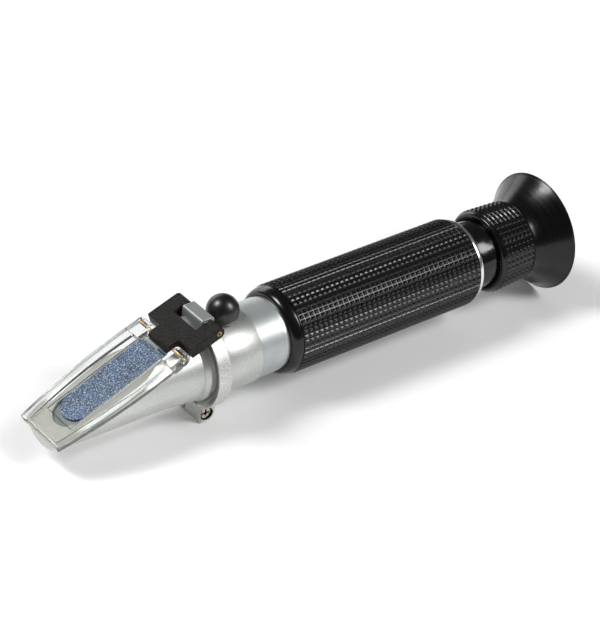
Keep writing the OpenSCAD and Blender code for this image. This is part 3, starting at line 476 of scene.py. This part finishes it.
def give_finish(piece, node):
    """Gives a piece the finish of a node's slot."""
    piece.data.materials.clear()
    piece.data.materials.append(FINISHES[SLOTS[node]])


def finish_cad_nodes():
    """Gives each CAD node the finish of its slot."""
    for node in SLOTS:
        give_finish(frame["nodes"][node], node)


# Modelling

def pick_up(piece):
    """Makes one object the only one selected, and the active one."""
    bpy.ops.object.select_all(action="DESELECT")
    piece.select_set(True)
    bpy.context.view_layer.objects.active = piece


def pick_faces(piece, wanted):
    """Opens edit mode with the faces selected that a test on centre and normal picks."""
    pick_up(piece)
    bpy.ops.object.mode_set(mode="EDIT")
    bpy.ops.mesh.select_mode(type="FACE")
    bpy.ops.mesh.select_all(action="DESELECT")
    bpy.ops.object.mode_set(mode="OBJECT")
    for face in piece.data.polygons:
        face.select = wanted(face.center, face.normal)
    bpy.ops.object.mode_set(mode="EDIT")


def inset_each(steps):
    """Insets each selected face on its own. Steps are insets in mm, each with its rise."""
    for inset, rise in steps:
        bpy.ops.mesh.inset(thickness=inset * MM, depth=rise * MM, use_individual=True)
    bpy.ops.object.mode_set(mode="OBJECT")


def axis_distance(point):
    """How far a point of a mesh is from the barrel's axis."""
    return math.hypot(point.y, point.z - AXIS_Z)


def start_ring(name, x, radius_mm, sides):
    """A ring of edges round the barrel's axis, in edit mode and selected."""
    bpy.ops.object.select_all(action="DESELECT")
    bpy.ops.mesh.primitive_circle_add(
        vertices=sides, radius=radius_mm * MM, location=(x, 0, AXIS_Z), rotation=(0, math.pi / 2, 0))
    piece = bpy.context.object
    piece.name = name
    bpy.ops.object.transform_apply(location=True, rotation=True, scale=True)
    bpy.ops.object.mode_set(mode="EDIT")
    bpy.ops.mesh.select_mode(type="VERT")
    bpy.ops.mesh.select_all(action="SELECT")
    return piece


def turn(name, front_x, outline, sides):
    """Turns a closed outline about the barrel's axis. Its points are pairs in mm: how far behind
    front_x, and how far from the axis."""
    behind, radius = outline[0]
    piece = start_ring(name, front_x + behind * MM, radius, sides)
    for next_behind, next_radius in outline[1:] + outline[:1]:
        bpy.ops.mesh.extrude_region_move(
            TRANSFORM_OT_translate={"value": ((next_behind - behind) * MM, 0, 0)})
        grow = next_radius / radius
        centre = (front_x + next_behind * MM, 0, AXIS_Z)
        bpy.ops.transform.resize(value=(1, grow, grow), center_override=centre)
        behind, radius = next_behind, next_radius
    bpy.ops.mesh.select_all(action="SELECT")
    bpy.ops.mesh.remove_doubles(threshold=SAME_POINT)
    bpy.ops.mesh.normals_make_consistent(inside=False)
    bpy.ops.object.mode_set(mode="OBJECT")
    return piece


def smooth(piece, degrees):
    """Shades a piece smooth but for edges that are sharper than an angle."""
    pick_up(piece)
    bpy.ops.object.shade_smooth_by_angle(angle=math.radians(degrees))


def join(first, second):
    """Joins the second piece to the first."""
    pick_up(first)
    second.select_set(True)
    bpy.ops.object.join()
    return first


def fit(piece, node, body):
    """Puts a piece in the place of a node: same body, same finish."""
    give_finish(piece, node)
    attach(piece, body)
    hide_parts(node)


def knurl(name, front_x, length, front_r, rear_r, rows, sides, steps):
    """A skin of small pyramids round the barrel, one on each side of each row. Each of the steps is an
    inset in mm with its rise: a groove, a steep foot and a top."""
    skin = 0.3
    outline = [(length * i / rows, front_r + (rear_r - front_r) * i / rows) for i in range(rows + 1)]
    outline += [(length, rear_r - skin), (0, front_r - skin)]
    piece = turn(name, front_x, outline, sides)
    middle_r = min(front_r, rear_r) - skin / 2

    def is_outside(centre, normal):
        return abs(normal.x) < 0.5 and axis_distance(centre) > middle_r * MM

    pick_faces(piece, is_outside)
    inset_each(steps)
    smooth(piece, degrees=12)
    return piece


def soften(node, body, width_mm, flat_faces):
    """Puts a copy in a node's place, its sharp edges broken by a small round, as moulding or tumbling
    leaves them. Flat faces keep the shade of a flat face right up to the round."""
    piece = bpy.data.objects.new(node + "_finished", frame["nodes"][node].data.copy())
    bpy.context.scene.collection.objects.link(piece)
    pick_up(piece)
    bpy.ops.object.mode_set(mode="EDIT")
    bpy.ops.mesh.select_all(action="SELECT")
    bpy.ops.mesh.remove_doubles(threshold=SAME_POINT)
    bpy.ops.mesh.dissolve_limited(angle_limit=math.radians(0.4))
    bpy.ops.object.mode_set(mode="OBJECT")
    edge = piece.modifiers.new("edge_round", "BEVEL")
    edge.width = width_mm * MM
    edge.segments = 2
    edge.limit_method = "ANGLE"
    edge.angle_limit = math.radians(25)
    edge.use_clamp_overlap = False
    bpy.ops.object.modifier_apply(modifier="edge_round")
    smooth(piece, degrees=40)
    if flat_faces:
        flats = piece.modifiers.new("flat_faces", "WEIGHTED_NORMAL")
        flats.keep_sharp = True
        flats.weight = 80
        bpy.ops.object.modifier_apply(modifier="flat_faces")
    fit(piece, node, body)


# Grip, focus ring and eyecup

def grip_sleeve():
    """Rubber grip: a smooth rounded band in front, then rows of low pyramids with grooves between."""
    low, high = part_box("grip_sleeve")
    length = (high.x - low.x) / MM
    bore_r, face_r, groove_r, knurl_r, band_r = 11.85, 12.45, 14.1, 14.28, 14.3
    band_end = 3.3
    band = [(0, face_r), (0.08, 12.72), (0.3, 13.1), (0.65, 13.42), (1.1, 13.7), (1.7, 13.95), (2.4, 14.15),
            (3.0, 14.28), (band_end, band_r)]
    step_down = [(band_end + 0.18, 14.22), (band_end + 0.3, 14.12), (band_end + 0.36, groove_r)]
    rear_bead = [(length - 0.35, groove_r), (length - 0.3, 14.2), (length - 0.06, band_r), (length, 14.2)]
    outline = [(0, bore_r)] + band + step_down + rear_bead + [(length, bore_r)]
    core = turn("grip_core", low.x, outline, sides=120)
    smooth(core, degrees=35)
    knurl_start = band_end + 0.45
    knurl_length = length - 0.3 - knurl_start
    skin = knurl(
        "grip_skin", low.x + knurl_start * MM, knurl_length, knurl_r, knurl_r, rows=37, sides=58,
        steps=((0.11, 0.0), (0.18, 0.2), (0.46, 0.22)))
    fit(join(core, skin), "grip_sleeve", "barrel")


def focus_ring():
    """Knurled focus ring: small teeth round its mouth, a plain lip, then a finer grid of low
    pyramids on a slight taper. The teeth are every other side of the turned ring."""
    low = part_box("focus_ring")[0]
    mouth_r, teeth_r, face_r, lip_r = 11.5, 12.25, 12.4, 13.3
    knurl_start, knurl_end, length = 1.2, 14.0, 17.1
    lip = [(-0.02, face_r), (0, 12.6), (0.08, 12.85), (0.25, 13.08), (0.45, 13.22), (0.75, lip_r)]
    bead = [(0.95, 13.5), (1.15, 13.56), (knurl_start, 13.4)]
    tail = [(knurl_end, 12.9), (knurl_end + 0.05, 12.4), (knurl_end + 0.05, 12.2), (length - 0.05, 12.2),
            (length, 12.1)]
    inside = [(length, 10.3), (12.2, 10.3), (12.2, 9.4), (10.2, 9.4), (10.2, mouth_r)]
    outline = [(0, mouth_r), (0, teeth_r)] + lip + bead + tail + inside
    sides = 138
    core = turn("focus_core", low.x, outline, sides)

    def is_tooth(centre, normal):
        side = round(math.atan2(centre.z - AXIS_Z, centre.y) / (2 * math.pi) * sides - 0.5)
        return normal.x < -0.9 and axis_distance(centre) < teeth_r * MM and side % 2 == 0

    pick_faces(core, is_tooth)
    inset_each(((0.05, 0.12), (0.12, 0.22)))
    smooth(core, degrees=35)
    knurl_length = knurl_end + 0.03 - knurl_start
    skin = knurl(
        "focus_skin", low.x + knurl_start * MM, knurl_length, 13.66, 13.08, rows=7, sides=46,
        steps=((0.12, 0.0), (0.2, 0.2), (0.52, 0.26)))
    fit(join(core, skin), "focus_ring", "focuser")


def grip_end_ring():
    """Bright ring behind the grip, with its rear edge turned round."""
    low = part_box("grip_end_ring")[0]
    seat_r, bore_r, outer_r = 11.05, 10.4, 14.0
    seat, length = 1.05, 1.7
    front = [(0, 13.88), (0.06, 13.96), (0.2, outer_r)]
    rear = [(0.9, outer_r), (1.25, 13.95), (1.5, 13.84), (1.65, 13.68), (length, 13.5)]
    inside = [(length, bore_r), (seat, bore_r), (seat, seat_r)]
    ring = turn("end_ring_turned", low.x, [(0, seat_r)] + front + rear + inside, sides=144)
    smooth(ring, degrees=40)
    fit(ring, "grip_end_ring", "barrel")


def eyecup():
    """Soft eyecup: one even flare outside, a hollow dish inside and a thin rounded rim."""
    low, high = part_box("eyecup")
    length = (high.x - low.x) / MM
    seat_r, waist_r, flare, rim_r = 12.25, 13.3, 6.5, 19.6
    dish_start, dish_r, dish_flare = 3.85, 11.0, 8.1
    shares = [i / 22 for i in range(1, 22)]
    base = [(0, seat_r), (0, 13.1), (0.06, 13.24), (0.2, waist_r)]
    outside = [(length * share, waist_r + flare * share ** 1.5) for share in shares]
    rim = [(length - 0.16, 19.84), (length - 0.04, 19.78), (length, rim_r), (length - 0.04, 19.4),
           (length - 0.16, 19.2)]
    dish = [(dish_start + (length - dish_start) * share, dish_r + dish_flare * share ** 0.85)
            for share in shares]
    seat = [(dish_start, 11.15), (dish_start - 0.15, 11.02), (3.05, dish_r), (3.05, seat_r)]
    cup = turn("eyecup_moulded", low.x, base + outside + rim + dish[::-1] + seat, sides=144)
    smooth(cup, degrees=50)
    fit(cup, "eyecup", "focuser")


def soften_other_pieces():
    """The pieces whose CAD shape is right get their edges broken."""
    for node, body, width_mm, flat_faces in (
            ("daylight_plate", "plate", 0.22, True),
            ("hinge_arm", "arm", 0.25, True),
            ("hinge_strap", "barrel", 0.15, True),
            ("clamp_ring", "barrel", 0.25, True),
            ("clamp_screw", "barrel", 0.1, True),
            ("front_body", "barrel", 0.18, True),
            ("objective_housing", "barrel", 0.15, False),
            ("calibration_cap", "cap", 0.12, False),
            ("eyepiece_neck", "barrel", 0.12, False)):
        soften(node, body, width_mm, flat_faces)


# Stage

def make_floor():
    """White paper that touches the eyecup's rim and the clamp ring's ears. Seen by the camera or in a
    mirror, it glows: a little near the object, so that shadows stay, and fully white far away."""
    rim_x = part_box("eyecup")[1].x
    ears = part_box("clamp_ring")[0]
    slope = math.atan2(ears.z, rim_x - ears.x)
    bpy.ops.mesh.primitive_plane_add(size=8.0, location=(rim_x, 0, 0), rotation=(0, slope, 0))
    floor = bpy.context.object
    floor.name = "floor"
    material, tree, place = begin("floor_paper_white")
    tree.nodes.remove(tree.nodes["Principled BSDF"])
    ray = add(tree, "ShaderNodeLightPath").outputs
    seen = ray["Is Camera Ray"]
    for mirrored in ("Is Glossy Ray", "Is Transmission Ray"):
        seen = add(tree, "ShaderNodeMath", {0: seen, 1: ray[mirrored]}, operation="MAXIMUM").outputs[0]
    away = add(tree, "ShaderNodeVectorMath", {0: place}, operation="LENGTH").outputs["Value"]
    near, far = 0.25, 0.7
    faint, full = 0.08, 1.0
    glow = add(tree, "ShaderNodeMapRange", {
        "Value": away, "From Min": near, "From Max": far, "To Min": faint, "To Max": full})
    lift = add(tree, "ShaderNodeMath", {0: seen, 1: glow.outputs["Result"]}, operation="MULTIPLY")
    paper = add(tree, "ShaderNodeBsdfDiffuse", {"Color": (0.86, 0.86, 0.86, 1)})
    shine = add(tree, "ShaderNodeEmission", {"Color": "#FFFFFF", "Strength": lift.outputs[0]})
    both = add(tree, "ShaderNodeAddShader", {0: paper.outputs[0], 1: shine.outputs[0]})
    feed(tree, tree.nodes["Material Output"].inputs["Surface"], both.outputs[0])
    floor.data.materials.append(material)


def make_world():
    """A plain dim studio. The camera sees it as white, also straight through glass: the depth of a ray
    that was only let through is one over its transmissions, and of a mirrored ray two or more."""
    world = bpy.data.worlds.new("studio")
    bpy.context.scene.world = world
    world.use_nodes = True
    tree = world.node_tree
    ray = add(tree, "ShaderNodeLightPath").outputs
    turns = add(tree, "ShaderNodeMath", {0: ray["Ray Depth"], 1: ray["Transmission Depth"]},
                operation="SUBTRACT").outputs[0]
    straight = add(tree, "ShaderNodeMath", {0: turns, 1: 1.5}, operation="LESS_THAN").outputs[0]
    through = add(tree, "ShaderNodeMath", {0: straight, 1: ray["Is Transmission Ray"]},
                  operation="MULTIPLY").outputs[0]
    seen = add(tree, "ShaderNodeMath", {0: through, 1: ray["Is Camera Ray"]},
               operation="MAXIMUM").outputs[0]
    dim = add(tree, "ShaderNodeBackground", {"Color": "#FFFFFF", "Strength": 0.11})
    white = add(tree, "ShaderNodeBackground", {"Color": "#FFFFFF", "Strength": 1.0})
    both = add(tree, "ShaderNodeMixShader", {0: seen, 1: dim.outputs[0], 2: white.outputs[0]})
    feed(tree, tree.nodes["World Output"].inputs["Surface"], both.outputs[0])


def add_softbox(name, direction, size, power):
    """A rectangular lamp that looks at the object from a direction. The camera doesn't see it. Its size
    is in metres and its power in watts."""
    distance = 2.5
    light = bpy.data.lights.new(name, "AREA")
    light.shape = "RECTANGLE"
    light.size, light.size_y = size
    light.energy = power
    lamp = bpy.data.objects.new(name, light)
    bpy.context.scene.collection.objects.link(lamp)
    aim = Vector(direction).normalized()
    lamp.location = aim * distance
    lamp.rotation_euler = aim.to_track_quat("Z", "Y").to_euler()
    lamp.visible_camera = False


def make_lights():
    """Two soft lamps above, and a wide low one behind for the barrel's upper edge."""
    add_softbox("above_left", direction=(-0.5, 0.38, 0.78), size=(0.85, 0.85), power=50.0)
    add_softbox("front_right", direction=(0.43, -0.56, 0.67), size=(0.75, 1.15), power=40.0)
    add_softbox("behind", direction=(0.17, 0.95, 0.25), size=(2.0, 0.9), power=12.0)


def make_camera():
    """The camera of the photograph, from a fit to the eyecup's rim, the bright ring and the grip."""
    focal_pixels = 3000
    picture_height = 625
    sensor = 36.0
    place_mm = Vector((-521.9, -556.5, 560.6))
    right = Vector((0.77511, -0.62278, 0.10653))
    up = Vector((0.29542, 0.50627, 0.81020))
    camera = bpy.data.cameras.new("camera")
    camera.sensor_width = sensor
    camera.lens = focal_pixels / picture_height * sensor
    camera.clip_start = 0.05
    camera.clip_end = 20
    holder = bpy.data.objects.new("camera", camera)
    bpy.context.scene.collection.objects.link(holder)
    facing = Matrix((right, up, right.cross(up))).transposed().to_4x4()
    holder.matrix_world = Matrix.Translation(place_mm * MM) @ facing
    bpy.context.scene.camera = holder


make_camera()
make_world()
make_lights()
make_floor()
finish_cad_nodes()
grip_sleeve()
grip_end_ring()
focus_ring()
eyecup()
soften_other_pieces()

bpy.context.scene.view_settings.view_transform = "Standard"
